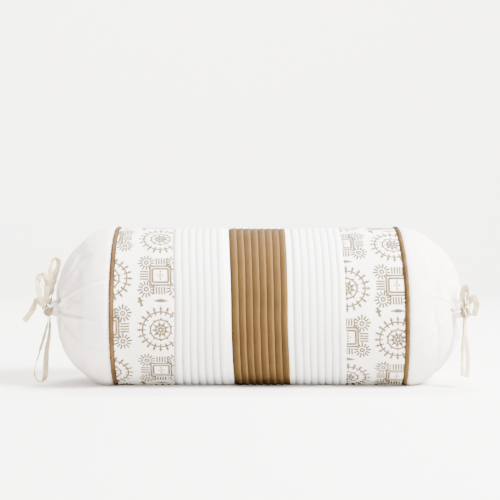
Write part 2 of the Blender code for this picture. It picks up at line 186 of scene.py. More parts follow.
def plump(points):
    """Soft lumps of the filling under the cloth, a slight waist at each seam, and puckers beside the piping."""
    angle, x = np.arctan2(points[:, 2], points[:, 1]), points[:, 0]
    lumps = sum(height * np.sin(waves * angle + slant * x + start) for height, waves, slant, start in LUMPS)
    waist = sum(np.exp(-(((np.abs(x) - seam) / WAIST_WIDTH) ** 2)) for seam in SEAMS)
    beside = np.exp(-np.abs(np.abs(x) - PIPING_AT) / PUCKERS_REACH)
    puckers = np.sin(PUCKERS_AROUND * angle + np.sign(x) + 0.8 * np.sin(5 * angle)) * beside
    grow = (lumps + PUCKER_HEIGHT * puckers - WAIST_DEPTH * waist) * MM
    radius = np.maximum(np.hypot(points[:, 1], points[:, 2]), 1e-6)
    grow *= smooth_step((radius - SINK_FADES_AT) / (COVER_INSIDE - SINK_FADES_AT))
    points = points.copy()
    points[:, 1:] *= (1 + grow / radius)[:, None]
    return points


def about_axis(x, radius, angle):
    """Points at an angle round the X axis, from the front over the top."""
    return np.stack([x, -radius * np.cos(angle), radius * np.sin(angle)], axis=1)


def in_use(points, crown=BODY_RADIUS):
    """Where points of the straight, round bolster lie on the bolster in use."""
    moved = askew(pressed(plump(drawn_up(points)), crown))
    moved[:, 2] = np.maximum(moved[:, 2] + AXIS_HEIGHT, FLOOR_GAP)
    return moved


def coordinates(piece):
    """The places of a piece's points, one row each."""
    points = np.empty(len(piece.data.vertices) * 3)
    piece.data.vertices.foreach_get("co", points)
    return points.reshape(-1, 3)


def move_to(piece, points):
    piece.data.vertices.foreach_set("co", np.ravel(points))
    piece.data.update()


def lay(piece, crown=BODY_RADIUS):
    """Moves a straight piece's points to where they are in use."""
    move_to(piece, in_use(coordinates(piece), crown))

# %% [markdown]
# ## Finishes
#
# Cotton looks like cotton through three things: a weave too fine to see from afar, a soft crumple a few millimetres
# across, and a sheen that lifts the edges. One function builds all of them, and each cloth then sets its own.
# The weave follows each piece's own UV map, which holds metres along and around the cloth.

# %% Cloth finishes
# A wave texture of scale 1 repeats every 0.314 m, so this turns a thread's width into a scale.
WAVES_PER_THREAD = 3.183


def finish(name, colour, roughness, sheen=0.0, shine=0.12):
    """A new material, with its nodes, links and shader. Cloth has little shine and a soft sheen of its own colour."""
    material = bpy.data.materials.new(name)
    material.use_nodes = True
    nodes = material.node_tree.nodes
    shader = nodes["Principled BSDF"]
    for socket, value in (("Base Color", (*colour, 1)), ("Roughness", roughness), ("Sheen Weight", sheen),
                          ("Sheen Roughness", 0.4), ("Sheen Tint", (*colour, 1)), ("Specular IOR Level", shine)):
        shader.inputs[socket].default_value = value
    return material, nodes, material.node_tree.links, shader


def noise(nodes, links, vector, scale, detail=2.0):
    node = nodes.new("ShaderNodeTexNoise")
    node.inputs["Scale"].default_value = scale
    node.inputs["Detail"].default_value = detail
    links.new(vector, node.inputs["Vector"])
    return node.outputs["Fac"]


def ramp(nodes, links, factor, stops):
    node = nodes.new("ShaderNodeValToRGB")
    for element, (place, colour) in zip(node.color_ramp.elements, stops):
        element.position = place
        element.color = (*colour, 1)
    links.new(factor, node.inputs["Fac"])
    return node.outputs["Color"]


def bump(nodes, links, height, distance, strength, under=None):
    node = nodes.new("ShaderNodeBump")
    node.inputs["Distance"].default_value = distance
    node.inputs["Strength"].default_value = strength
    links.new(height, node.inputs["Height"])
    if under:
        links.new(under, node.inputs["Normal"])
    return node.outputs["Normal"]


def woven(name, light, dark, roughness, thread, sheen, crumple, fold_shade_and_highlight=(), shine=0.12):
    """A plain-weave cloth: warp and weft from the UV map, a crumple from Object coordinates, and mottled colour.

    Each fold colour, a painted shade in the creases or a painted highlight on the folds, is mixed in as the "fold"
    attribute goes from start to end, up to the share most."""
    material, nodes, links, shader = finish(name, light, roughness, sheen, shine)
    place = nodes.new("ShaderNodeTexCoord")
    mottle = noise(nodes, links, place.outputs["Object"], 42.0, 3.0)
    colour = ramp(nodes, links, mottle, [(0.3, dark), (0.68, light)])
    # The fold colours paint shade into the tucks' creases and a highlight onto their folds.
    if fold_shade_and_highlight:
        fold_for_painted_light = nodes.new("ShaderNodeAttribute")
        fold_for_painted_light.attribute_name = "fold"
        for start, end, most, tint in fold_shade_and_highlight:
            share = nodes.new("ShaderNodeMapRange")
            share.inputs["From Min"].default_value, share.inputs["From Max"].default_value = start, end
            share.inputs["To Max"].default_value = most
            links.new(fold_for_painted_light.outputs["Fac"], share.inputs["Value"])
            mix = nodes.new("ShaderNodeMix")
            mix.data_type = "RGBA"
            links.new(share.outputs["Result"], mix.inputs["Factor"])
            links.new(colour, mix.inputs[6])
            mix.inputs[7].default_value = (*tint, 1)
            colour = mix.outputs[2]
    links.new(colour, shader.inputs["Base Color"])
    weave = nodes.new("ShaderNodeMath")
    weave.operation = "MULTIPLY"
    for number, direction in enumerate("XY"):
        wave = nodes.new("ShaderNodeTexWave")
        wave.bands_direction = direction
        wave.inputs["Scale"].default_value = 1 / (thread * WAVES_PER_THREAD)
        wave.inputs["Distortion"].default_value = 0.6
        wave.inputs["Detail"].default_value = 0.0
        links.new(place.outputs["UV"], wave.inputs["Vector"])
        links.new(wave.outputs["Fac"], weave.inputs[number])
    soft = bump(nodes, links, noise(nodes, links, place.outputs["Object"], 32.0, 2.0), 4 * MM, crumple)
    creases = bump(nodes, links, noise(nodes, links, place.outputs["Object"], 120.0, 4.0), 0.6 * MM, crumple, soft)
    normal = bump(nodes, links, weave.outputs["Value"], 0.08 * MM, 0.35, creases)
    links.new(normal, shader.inputs["Normal"])
    return material


WHITE_COTTON = woven("white_cotton_lawn", (0.75, 0.685, 0.655), (0.65, 0.585, 0.555), 0.85, 0.4 * MM, 0.08, 0.6)
# The white tucks get a painted shade in each crease and a painted highlight along each fold.
WHITE_TUCKS = woven("white_tucked_cotton", (0.87, 0.865, 0.85), (0.84, 0.83, 0.81), 0.85, 0.4 * MM, 0.08, 0.2,
                    fold_shade_and_highlight=((0.6, 0.0, 0.9, (0.24, 0.225, 0.20)), (0.7, 1.0, 0.9, (0.97, 0.965, 0.95))))
PRINT_GROUND = woven("print_ground_cotton", (0.79, 0.745, 0.675), (0.74, 0.69, 0.61), 0.8, 0.35 * MM, 0.08, 0.2)
# The tan tucks get a painted shade in each crease and a painted highlight along each fold.
TAN_SATEEN = woven("tan_tucked_sateen", (0.078, 0.042, 0.0125), (0.060, 0.0315, 0.0088), 0.75, 0.3 * MM, 0.03, 0.25,
                   fold_shade_and_highlight=((0.72, 0.0, 0.9, (0.024, 0.012, 0.0034)), (0.66, 1.0, 0.9, (0.140, 0.084, 0.031))),
                   shine=0.06)
PIPING_CLOTH = woven("tan_piping_cloth", (0.076, 0.041, 0.0120), (0.038, 0.0185, 0.0050), 0.7, 0.3 * MM, 0.05, 0.45)
CREAM_TAPE = woven("cream_cotton_tape", (0.50, 0.42, 0.26), (0.36, 0.29, 0.165), 0.85, 0.7 * MM, 0.1, 0.5)
CALICO = woven("plain_calico", (0.78, 0.74, 0.65), (0.70, 0.65, 0.55), 0.9, 0.5 * MM, 0.1, 0.3)
FIBRE_FILL = woven("loose_fibre", (0.93, 0.93, 0.91), (0.88, 0.88, 0.86), 0.95, 1.5 * MM, 0.4, 1.0)

# %% The print's gold, and sewing thread


def mottled(name, colour, roughness, sheen, scale, detail, stops, relief=0.0):
    """A finish whose colour comes from one fine noise: rubbed printing paste, or twisted thread with some relief."""
    material, nodes, links, shader = finish(name, colour, roughness, sheen)
    fine = noise(nodes, links, nodes.new("ShaderNodeTexCoord").outputs["Object"], scale, detail)
    links.new(ramp(nodes, links, fine, stops), shader.inputs["Base Color"])
    if relief:
        links.new(bump(nodes, links, fine, relief, 0.5), shader.inputs["Normal"])
    return material


GOLD_PRINT = mottled("gold_print", (0.12, 0.065, 0.024), 0.6, 0.0, 260.0, 3.0,
                     [(0.35, (0.078, 0.055, 0.028)), (0.7, (0.148, 0.108, 0.060))])
BROWN_THREAD = mottled("brown_thread", (0.022, 0.010, 0.003), 0.55, 0.2, 3000.0, 1.0,
                       [(0.3, (0.0132, 0.006, 0.0018)), (0.7, (0.022, 0.010, 0.003))], 0.1 * MM)
print(len(bpy.data.materials), "materials so far")

# %% [markdown]
# ## Geometry Nodes, built in the script
#
# The tucks, the print and the stitches all repeat by a rule, so they are made with Geometry Nodes. These helpers
# keep the trees short: `Tree` adds a node and joins its sockets in one line, and `made_by` runs a tree on a new
# object and keeps the plain mesh that comes out.

# %% A small tree builder


class Tree:
    """A Geometry Nodes tree with named inputs."""

    def __init__(self, name, inputs):
        self.group = bpy.data.node_groups.new(name, "GeometryNodeTree")
        face = self.group.interface
        face.new_socket(name="Geometry", in_out="INPUT", socket_type="NodeSocketGeometry")
        kinds = {float: "NodeSocketFloat", int: "NodeSocketInt", None: "NodeSocketMaterial"}
        self.sockets = {}
        for title, kind in inputs.items():
            self.sockets[title] = face.new_socket(name=title, in_out="INPUT", socket_type=kinds[kind])
        face.new_socket(name="Geometry", in_out="OUTPUT", socket_type="NodeSocketGeometry")
        self.given = self.group.nodes.new("NodeGroupInput").outputs

    def node(self, kind, settings=None, **joined):
        node = self.group.nodes.new(kind)
        for key, value in (settings or {}).items():
            setattr(node, key, value)
        for key, value in joined.items():
            socket = node.inputs[int(key[1:]) if key[0] == "i" and key[1:].isdigit() else key.replace("_", " ")]
            if isinstance(value, bpy.types.NodeSocket):
                self.group.links.new(value, socket)
            else:
                socket.default_value = value
        return node.outputs

    def math(self, operation, *values):
        return self.node("ShaderNodeMath", {"operation": operation}, **dict(zip(("i0", "i1", "i2"), values)))[0]

    def curve(self, factor, points):
        """A value read off a curve drawn through the points."""
        node = self.group.nodes.new("ShaderNodeFloatCurve")
        line = node.mapping.curves[0]
        line.points[0].location, line.points[-1].location = points[0], points[-1]
        for point in points[1:-1]:
            line.points.new(*point)
        node.mapping.update()
        self.group.links.new(factor, node.inputs["Value"])
        return node.outputs[0]

    def end(self, geometry):
        """Every tree ends alike: real geometry, with its material."""
        real = self.node("GeometryNodeRealizeInstances", Geometry=geometry)[0]
        done = self.node("GeometryNodeSetMaterial", Geometry=real, Material=self.given["Material"])[0]
        self.group.links.new(done, self.group.nodes.new("NodeGroupOutput").inputs[0])


def new_piece(name, mesh):
    piece = bpy.data.objects.new(name, mesh)
    bpy.context.scene.collection.objects.link(piece)
    return piece


def made_by(tree, name, settings, mesh=None):
    """A new object whose mesh is what the tree makes with these settings."""
    piece = new_piece(name, mesh or bpy.data.meshes.new(name))
    modifier = piece.modifiers.new("Rule", "NODES")
    modifier.node_group = tree.group
    for title, value in settings.items():
        modifier[tree.sockets[title].identifier] = value
    settled(piece)
    piece.data.materials.clear()
    piece.data.materials.append(settings["Material"])
    piece.data.polygons.foreach_set("material_index", [0] * len(piece.data.polygons))
    return piece


def settled(piece):
    """Replaces a piece's mesh by what its modifiers make of it."""
    graph = bpy.context.evaluated_depsgraph_get()
    mesh = bpy.data.meshes.new_from_object(piece.evaluated_get(graph), preserve_all_data_layers=True,
                                           depsgraph=graph)
    mesh.name = piece.name
    piece.modifiers.clear()
    piece.data = mesh
    return piece


def walled(piece, thickness):
    """A cloth piece with its thickness added on the inside."""
    wall = piece.modifiers.new("Wall", "SOLIDIFY")
    wall.thickness, wall.offset = thickness, -1
    return settled(piece)


def sewn_on(piece, slot, *nodes, body="bolster"):
    """Says which body a piece moves with and which nodes it stands for. The slot argument is not used."""
    piece.data.shade_smooth()
    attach(piece, body)
    if nodes:
        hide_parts(*nodes)


def facing_out(piece):
    """Turns every face of a closed piece outwards."""
    work = bmesh.new()
    work.from_mesh(piece.data)
    bmesh.ops.recalc_face_normals(work, faces=work.faces)
    work.to_mesh(piece.data)
    work.free()

# %% [markdown]
# ## The cotton tapes
#
# Each end is drawn shut by a 6 mm cotton tape, tied in a small bow whose loops and ends hang down. A tape is flat, so
# a round tube would never look right. It is a ribbon swept along a listed route, with its own turn at every stop, a
# slight cup across its width, and thicker woven edges. The stops are written in each knot's own directions: out of
# the gather, to the front, and up, in millimetres.

# %% The two knots' places, and the tapes' routes


def knot_frame(side, sign):
    """The knot's middle, and its directions out of the gather, to the front and up."""
    turn = GATHER_TURN[side]
    out = Vector((sign * math.cos(turn) / END_DEPTH, -math.sin(turn) / SLEEVE_RADIUS, 0)).normalized()
    up = Vector((0, 0, 1))
    front = out.cross(up) if out.cross(up).y < 0 else up.cross(out)
    low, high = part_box(f"{side}_knot")
    middle = Vector([(a + b) / 2 for a, b in zip(low, high)])
    return middle, out, front, up


KNOTS = {side: knot_frame(side, sign) for side, sign in SIDES}
TIE_ROUTES = {
    "left_tall_loop": [
        (-0.4, -0.4, 4.95, 0), (0, -2, 14, -35), (-1.5, -4, 26, -60), (-3, -7, 38, -75), (-3.5, -10, 49, -45),
        (-6, -13, 57, -20), (-10.5, -15, 59.5, -30), (-13.5, -15, 54, -45), (-10, -12, 44, -60),
        (-6.8, -8, 32, -40), (-4.5, -4, 20, -10), (-2.6, -1.6, 10, 0), (-1.7, -0.6, 4.95, 0)],
    "left_short_loop": [
        (2, 2.6, 4.6, 0), (2.6, 3, 10, 35), (2.6, 3, 20, 80), (2, 3, 31, 60), (4, 3, 40, 85), (8, 3, 42, 60),
        (11.5, 3, 37, 85), (11.8, 3, 27, 60), (9, 3, 15, 75), (5.4, 2.8, 7.5, 40), (3.5, 2.6, 3.9, 10)],
    "left_short_tail": [
        (4.7, -3.2, 2.2, 0), (7.5, -3.8, 7, 30), (10.5, -4, 12, 60), (13.5, -4, 12.5, 80), (15.5, -4, 6.5, 70),
        (18.5, -4, 0.5, 95), (22, -4, -4.5, 75), (26.5, -4, -10, 85)],
    "left_hanging_loop": [
        (0.6, 0.6, -4.95, 0), (1.6, 0.8, -14, 20), (5.2, 1.2, -28, 35), (9.8, 1.5, -43, 25), (13.8, 1, -57, 8),
        (15.4, 0.5, -67, -6), (13.5, 0, -74, -12), (9.6, -0.5, -77.4, -8), (5.6, -1, -76, 20),
        (3.2, -1.5, -70, 60), (2.8, -1.5, -58, 75), (1.8, -1, -42, 45), (-0.6, -0.6, -28, 30),
        (-1.6, -0.4, -14, 15), (-1.6, -0.2, -4.95, 0)],
    "right_tall_loop": [
        (-1.1, 0.4, 4.95, 0), (-3, 0, 13, -50), (-2.8, -0.5, 22, -75), (-0.6, -1, 28.5, -60),
        (1.9, -0.5, 28, -40), (3.2, 0, 21, -60), (2.4, 0.4, 12, -20), (0.9, 0.4, 4.95, 0)],
    "right_short_loop": [
        (4.1, 0.4, 3.2, 0), (5.6, 0.4, 9, 30), (7, 0.4, 15, 70), (10, 0.4, 17.5, 85), (12.6, 0.4, 13.5, 60),
        (12.8, 0.4, 6, 80), (10.6, 0.4, -0.5, 40), (7.8, 0.4, -2.6, 10), (5.1, 0.4, -1.4, 0)],
    "right_rear_tail": [
        (-1.5, -0.8, -4.95, 0), (-2.2, -2, -20, 5), (-3.8, -3, -38, 12), (-4.6, -3.5, -54, 5),
        (-4.4, -4, -69.5, 15)],
    "right_front_tail": [
        (0.5, 0.8, -4.95, 0), (0.8, 2, -20, 10), (2.8, 3, -36, 30), (4.2, 3.5, -52, 20), (3, 4, -70, 35)],
}

# How crumpled each tape is, in millimetres of ripple. The bows were tied and retied; the hanging ends are smoother.
CRUMPLE = {"left_tall_loop": 0.9, "left_short_loop": 1.6, "left_short_tail": 1.5, "left_hanging_loop": 0.3,
           "right_tall_loop": 1.1, "right_short_loop": 1.4, "right_rear_tail": 0.3, "right_front_tail": 0.3}

# %% A smooth line through the stops, and a ribbon along it


def smooth_line(stops, step):
    """Catmull-Rom points about one step apart. A stop's fourth number is its turn, which is smoothed with it."""
    stops = [np.array(stop, float) for stop in stops]
    around = [2 * stops[0] - stops[1], *stops, 2 * stops[-1] - stops[-2]]
    line = []
    for before, start, end, after in zip(around, around[1:], around[2:], around[3:]):
        count = max(1, round(np.linalg.norm((end - start)[:3]) / step))
        for t in np.arange(count) / count:
            line.append(0.5 * (2 * start + (end - before) * t + (2 * before - 5 * start + 4 * end - after) * t ** 2
                               + (3 * start - before - 3 * end + after) * t ** 3))
    return line + [stops[-1]]


def across_tape(count):
    """The tape's own section: thin in the middle, with a rounded, slightly thicker edge on each side."""
    share = np.linspace(-1, 1, count)
    thick = np.where(np.abs(share) > 0.75, 1.0, 0.72) * TAPE_THICKNESS / 2
    thick *= np.where(np.abs(share) > 0.99, 0.45, 1.0)
    top = np.stack([share * TAPE_WIDTH / 2, thick], axis=1)
    return np.concatenate([top, top[::-1] * (1, -1)])


def ribbon(name, knot, line, cup=0.5, closed=False, width=1.0, crumple=0.0):
    """A tape along a line of (out, front, up, turn) points in millimetres, cupped across its width and crumpled."""
    middle, out, front, up = knot
    axes = np.array([out, front, up])
    section = across_tape(9) * (width, 1)
    line = np.array(line)
    places = line[:, :3] * MM @ axes
    count, round_count = len(line), len(section)
    share = 2 * section[:, 0] / TAPE_WIDTH
    hollow = cup * MM * (1 - share ** 2)
    points, chart = [], []
    for i, place in enumerate(places):
        if closed:
            after, before = places[(i + 1) % count], places[i - 1]
            high = section[:, 1] + hollow
        else:
            after, before = places[min(i + 1, count - 1)], places[max(i - 1, 0)]
            ripple = 0.8 * np.sin(0.8 * i + 1.7 * share) + 0.45 * np.sin(1.63 * i - 2.4 * share + 1)
            ripple *= (0.35 + 0.65 * share ** 2) * min(1, i / 4, (count - 1 - i) / 4 + 0.1)
            high = section[:, 1] + hollow * math.sin(0.45 * i + len(name)) + crumple * MM * ripple
        ahead = Vector(after - before).normalized()
        level = Vector(front) - ahead * ahead.dot(front)
        across = Matrix.Rotation(math.radians(line[i, 3]), 3, ahead) @ level.normalized()
        through = ahead.cross(across)
        points += list(place + np.outer(section[:, 0], across) + np.outer(high, through))
        chart += [(side, i) for side in section[:, 0]]
    faces = []
    for i in range(count if closed else count - 1):
        a, b = i * round_count, ((i + 1) % count) * round_count
        faces += [(a + j, a + (j + 1) % round_count, b + (j + 1) % round_count, b + j) for j in range(round_count)]
    if not closed:
        faces += [tuple(range(round_count))[::-1], tuple(range(a + round_count, a + 2 * round_count))]
    mesh = bpy.data.meshes.new(name)
    mesh.from_pydata([Vector(point) + middle for point in points], [], faces)
    step = float(np.linalg.norm(np.diff(places, axis=0), axis=1).mean())
    layer = mesh.uv_layers.new(name="UVMap")
    for loop in mesh.loops:
        layer.data[loop.index].uv = (chart[loop.vertex_index][0], chart[loop.vertex_index][1] * step)
    piece = new_piece(name, mesh)
    facing_out(piece)
    mesh.materials.append(CREAM_TAPE)
    return piece, [tuple(Vector(place) + middle) for place in places]

# %% [markdown]
# Three of the tapes hang free below their knots and can swing, so each of those rides on its own body. The others
# ride on the bolster.

# %% Making the tapes


def make_tape(name):
    side = name.split("_")[0]
    line = smooth_line(TIE_ROUTES[name], 1.5)
    piece, path = ribbon(name + "_tape", KNOTS[side], line, crumple=CRUMPLE[name])
    body = name if name in frame["bodies"] else "bolster"
    sewn_on(piece, "cream_tape", name, body=body)


for name in TIE_ROUTES:
    make_tape(name)

# %% [markdown]
# ## The knots
#
# A knot in flat tape is a few crossing turns pulled tight. Each turn here is a ring of the same ribbon, leaning its
# own way, round a small core, so the folds of one turn show beside the next.

# %% Tying the knots
# Each turn: its radius in millimetres, its lean about the front and its turn about the upright, in degrees.
KNOT_TURNS = ((5.1, 8, 14), (4.6, -36, 58), (4.3, 48, -34), (4.0, 80, 0))
KNOT_CORE = 4.1 * MM


def turn_of_tape(radius, lean, yaw, steps=36):
    """A closed ring of (out, front, up, turn) points, leaning about the front and turned about the upright."""
    ring = []
    for i in range(steps):
        angle = math.tau * i / steps
        point = Vector((radius * math.cos(angle), 0, radius * 0.92 * math.sin(angle)))
        point.rotate(Matrix.Rotation(math.radians(lean), 3, "X") @ Matrix.Rotation(math.radians(yaw), 3, "Z"))
        ring.append((*point, 0))
    return ring


def make_knot(side):
    parts = [ribbon(f"{side}_turn_{i}", KNOTS[side], turn_of_tape(*turn), cup=0.9, closed=True, width=0.85)[0]
             for i, turn in enumerate(KNOT_TURNS)]
    work = bmesh.new()
    for part in parts:
        work.from_mesh(part.data)
        bpy.data.objects.remove(part)
    start = len(work.verts)
    bmesh.ops.create_icosphere(work, subdivisions=3, radius=KNOT_CORE)
    work.verts.ensure_lookup_table()
    for vertex in work.verts[start:]:
        vertex.co += KNOTS[side][0]
    mesh = bpy.data.meshes.new(f"{side}_tied_knot")
    work.to_mesh(mesh)
    work.free()
    mesh.materials.append(CREAM_TAPE)
    sewn_on(new_piece(mesh.name, mesh), "cream_tape", f"{side}_knot")
    print(f"{mesh.name}: {len(KNOT_TURNS)} turns of tape")


for side, _ in SIDES:
    make_knot(side)

# %% [markdown]
# ## The bands of the body
#
# A tuck is a narrow pleat that is stitched down. Seen from the side, the cloth climbs slowly from one stitch line,
# turns over in a round fold, and dives back under itself to the next line. One rule makes all of it, so a band is a
# flat grid whose rows are bent round the bolster and whose columns follow two drawn curves: how high the cloth is,
# and how far it leans over. With no tucks, the same tree makes the plain cloth under the print.

# %% The tucked-band tree
BAND = Tree("Tucked band", {"Start": float, "Width": float, "First Tuck": float, "Tucks": int, "Pitch": float,
                            "Low Radius": float, "Fold Height": float, "Unevenness": float, "Columns": int,
                            "Rows": int, "Seed": float, "Material": None})


def build_band_tree(t):
    given = t.given
    grid = t.node("GeometryNodeMeshGrid", Size_X=1.0, Size_Y=1.0, Vertices_X=given["Columns"],
                  Vertices_Y=given["Rows"])[0]
    flat = t.node("ShaderNodeSeparateXYZ", Vector=t.node("GeometryNodeInputPosition")[0])
    across = t.math("MULTIPLY", t.math("ADD", flat[0], 0.5), given["Width"])
    around = t.math("MULTIPLY", t.math("ADD", flat[1], 0.5), math.tau)
    place = t.math("DIVIDE", t.math("SUBTRACT", across, given["First Tuck"]), given["Pitch"])
    in_tucks = t.math("MULTIPLY", t.math("GREATER_THAN", place, 0.0), t.math("LESS_THAN", place, given["Tucks"]))
    number, phase = t.math("FLOOR", place), t.math("FRACT", place)
    rise = t.curve(phase, [(0, 0), (0.12, 0.06), (0.45, 0.5), (0.74, 0.9), (0.86, 1.0), (0.94, 0.75), (1, 0.05)])
    lean = t.curve(phase, [(0, 0), (0.3, 0.06), (0.74, 0.26), (0.86, 0.24), (0.94, 0.12), (1, 0)])
    rise, lean = t.math("MULTIPLY", rise, in_tucks), t.math("MULTIPLY", lean, in_tucks)
    ring = t.node("ShaderNodeCombineXYZ", X=t.math("COSINE", around), Y=t.math("SINE", around),
                  Z=t.math("MULTIPLY_ADD", number, 1.7, given["Seed"]))[0]
    wobble = t.node("ShaderNodeTexNoise", {"noise_dimensions": "3D"}, Vector=ring, Scale=2.2, Detail=2.0)[0]
    wobble = t.math("MULTIPLY", t.math("SUBTRACT", wobble, 0.5), given["Unevenness"])
    x = t.math("ADD", given["Start"], across)
    x = t.math("MULTIPLY_ADD", lean, given["Pitch"], x)
    x = t.math("MULTIPLY_ADD", wobble, t.math("MULTIPLY", rise, 1.5), x)
    radius = t.math("MULTIPLY_ADD", rise, given["Fold Height"], given["Low Radius"])
    radius = t.math("MULTIPLY_ADD", wobble, rise, radius)
    round_place = t.node("ShaderNodeCombineXYZ", X=x, Y=t.math("MULTIPLY", radius, t.math("SINE", around)),
                         Z=t.math("MULTIPLY", radius, t.math("MULTIPLY", t.math("COSINE", around), -1.0)))[0]
    chart = t.node("ShaderNodeCombineXYZ", X=across, Y=t.math("MULTIPLY", around, BODY_RADIUS))[0]
    cloth = t.node("GeometryNodeStoreNamedAttribute", {"data_type": "FLOAT2", "domain": "CORNER"}, Geometry=grid,
                   Name="UVMap", Value=chart)[0]
    # The "fold" attribute is the cloth's rise in a tuck; the tucked finishes use it to paint shade into the creases
    # and a highlight onto the folds.
    cloth = t.node("GeometryNodeStoreNamedAttribute", {"data_type": "FLOAT", "domain": "POINT"}, Geometry=cloth,
                   Name="fold", Value=t.math("MULTIPLY_ADD", t.math("SUBTRACT", 1.0, in_tucks), 0.61, rise))[0]
    cloth = t.node("GeometryNodeSetPosition", Geometry=cloth, Position=round_place)[0]
    cloth = t.node("GeometryNodeMergeByDistance", Geometry=cloth, Distance=0.01 * MM)[0]
    t.end(t.node("GeometryNodeFlipFaces", Mesh=cloth)[0])


build_band_tree(BAND)

# %% Making the five bands
FOLD_LOW, FOLD_HEIGHT = BODY_RADIUS - 0.9 * MM, 1.2 * MM
PLAIN_STRIP = 6.4 * MM


def band(name, start, end, first, tucks, pitch, material, slot, node, seed):
    tucked = tucks > 0
    column = 0.5 * MM if tucked else 1.2 * MM
    settings = {"Start": start, "Width": end - start, "First Tuck": first, "Tucks": tucks, "Pitch": pitch,
                "Low Radius": FOLD_LOW if tucked else BODY_RADIUS - 0.1 * MM, "Fold Height": FOLD_HEIGHT,
                "Unevenness": 0.9 * MM, "Columns": round((end - start) / column), "Rows": 241, "Seed": seed,
                "Material": material}
    piece = walled(made_by(BAND, name, settings), CLOTH)
    lay(piece)
    sewn_on(piece, slot, node)
    print(f"{name}: {tucks} tucks, {len(piece.data.polygons)} faces")


CENTRE_EDGE, WHITE_EDGE = SEAMS
PRINT_EDGE = PRINT_END + 0.9 * MM
WHITE_PITCH = (WHITE_EDGE - CENTRE_EDGE - PLAIN_STRIP) / 7
band("brown_tucks", -CENTRE_EDGE, CENTRE_EDGE, 0.0, 8, CENTRE_EDGE / 4, TAN_SATEEN, "tan_sateen", "centre_band", 3.0)
for side, start, end, first, seed in (("left", -WHITE_EDGE, -CENTRE_EDGE, 0.0, 40.0),
                                      ("right", CENTRE_EDGE, WHITE_EDGE, PLAIN_STRIP, 80.0)):
    band(f"{side}_white_tucks", start, end, first, 7, WHITE_PITCH, WHITE_TUCKS, "white_cotton",
         f"{side}_tucked_band", seed)
for side, start, end, seed in (("left", -PRINT_EDGE, -WHITE_EDGE, 120.0), ("right", WHITE_EDGE, PRINT_EDGE, 160.0)):
    band(f"{side}_print_ground", start, end, 0.0, 0, 1.0, PRINT_GROUND, "print_cotton", f"{side}_print_band", seed)

# %% [markdown]
# ## The print
#
# The cloth is printed in gold with a brick layout: columns of square medallions and spoked wheels, each column half
# a repeat lower than the next. The lines are drawn flat, as thin strokes, and a tree gives them their width. They
# are real, very thin geometry, because a band's texture would blur lines only a millimetre wide.

# %% Drawing the two motifs flat
REPEATS_AROUND = 5
REPEAT = math.tau * BODY_RADIUS / REPEATS_AROUND
PRINT_WEIGHT = 2.1
# Each column: its middle along the bolster, and the height of its medallion above the front line, in millimetres.
COLUMNS = {"left": ((-161, -18), (-105, 39)), "right": ((93.5, -29), (147.5, 28))}


def turned_about(stroke, angle, centre=(0, 0)):
    cosine, sine = math.cos(angle), math.sin(angle)
    return [(centre[0] + x * cosine - y * sine, centre[1] + x * sine + y * cosine) for x, y in stroke]


def circle(radius, steps, centre=(0, 0)):
    points = [turned_about([(radius, 0)], math.tau * i / steps, centre)[0] for i in range(steps)]
    return points + points[:1]


def sun(centre, rays=13, lean=0.0):
    """A small ring with a dot in it and club-ended rays."""
    strokes = [(circle(2.2, 12, centre), 0.45), ([(centre[0] - 0.3, centre[1]), (centre[0] + 0.3, centre[1])], 0.5)]
    for i in range(rays):
        angle = math.tau * i / rays + lean
        strokes.append((turned_about([(4.2, 0), (9.1 + 0.8 * (i % 2), 0)], angle, centre), 0.48))
    return strokes


def comb(centre, teeth, spacing, length, upright):
    strokes = []
    for i in range(teeth):
        off = (i - (teeth - 1) / 2) * spacing
        tooth = [(off, -length / 2), (off, length / 2)] if upright else [(-length / 2, off), (length / 2, off)]
        strokes.append(([(centre[0] + x, centre[1] + y) for x, y in tooth], 0.45))
    return strokes


def box_outline(half_wide, half_high, width):
    corners = [(-half_wide, -half_high), (half_wide, -half_high), (half_wide, half_high), (-half_wide, half_high)]
    return [([corners[i], corners[(i + 1) % 4]], width) for i in range(4)]


def medallion():
    """A framed square with a sun at each corner and a comb on each side."""
    strokes = box_outline(11.2, 11, 0.5) + box_outline(8.6, 7.8, 0.55)
    strokes += [([(0, y - 0.9), (0, y + 0.9)], 0.5) for y in (-4.4, -1.5, 1.5, 4.4)]
    strokes += [([(x, -0.9), (x, 0.9)], 0.4) for x in (-2.6, 2.6)]
    for across, up in ((-15.4, -15.5), (15.4, -15.5), (-15.4, 15.5), (15.4, 15.5)):
        strokes += sun((across, up), lean=0.07 * across)
    for sign in (-1, 1):
        strokes += comb((sign * 1.5, sign * 17), 5, 2.9, 8.2, True)
        strokes += comb((sign * 17.6, 0), 4, 2.9, 9.5, False)
    return strokes


def wheel():
    """Two rings, spokes inside the small one, and barred ticks across the large one."""
    strokes = [(circle(11.0, 40), 0.45), (circle(19.6, 60), 0.45), (circle(1.8, 10), 0.4), (circle(5.4, 24), 0.38)]
    for i in range(9):
        angle = math.tau * i / 9 + 0.4
        strokes.append((turned_about([(1.8, 0), (9.4, 0)], angle), 0.42))
        strokes.append((turned_about([(6.2, -1.5), (6.2, 1.5)], angle), 0.42))
    for i in range(20):
        angle = math.tau * i / 20
        strokes.append((turned_about([(16.2, 0), (25.6, 0)], angle), 0.46))
        strokes.append((turned_about([(22.8, -1.6), (22.8, 1.6)], angle), 0.42))
        if i % 2:
            strokes.append((turned_about([(10.8, 0), (13.4, 0)], angle), 0.42))
    return strokes


def twig(lean):
    """A small barred cross that fills the gaps."""
    strokes = [([(0, -5), (0, 5)], 0.45)]
    strokes += [([(-half, y), (half, y)], 0.45) for y, half in ((-4.2, 1.2), (0.8, 2.8), (4.2, 1.3))]
    return [(turned_about(stroke, lean), width) for stroke, width in strokes]


def leaf():
    """A slim filled leaf, drawn as bars that get shorter."""
    return [([(-half, y), (half, y)], 0.42) for y, half in ((-0.9, 3.6), (-0.1, 7.2), (0.7, 4.4), (1.4, 1.4))]


def moved(strokes, across, up):
    return [([(x + across, y + up) for x, y in stroke], width) for stroke, width in strokes]


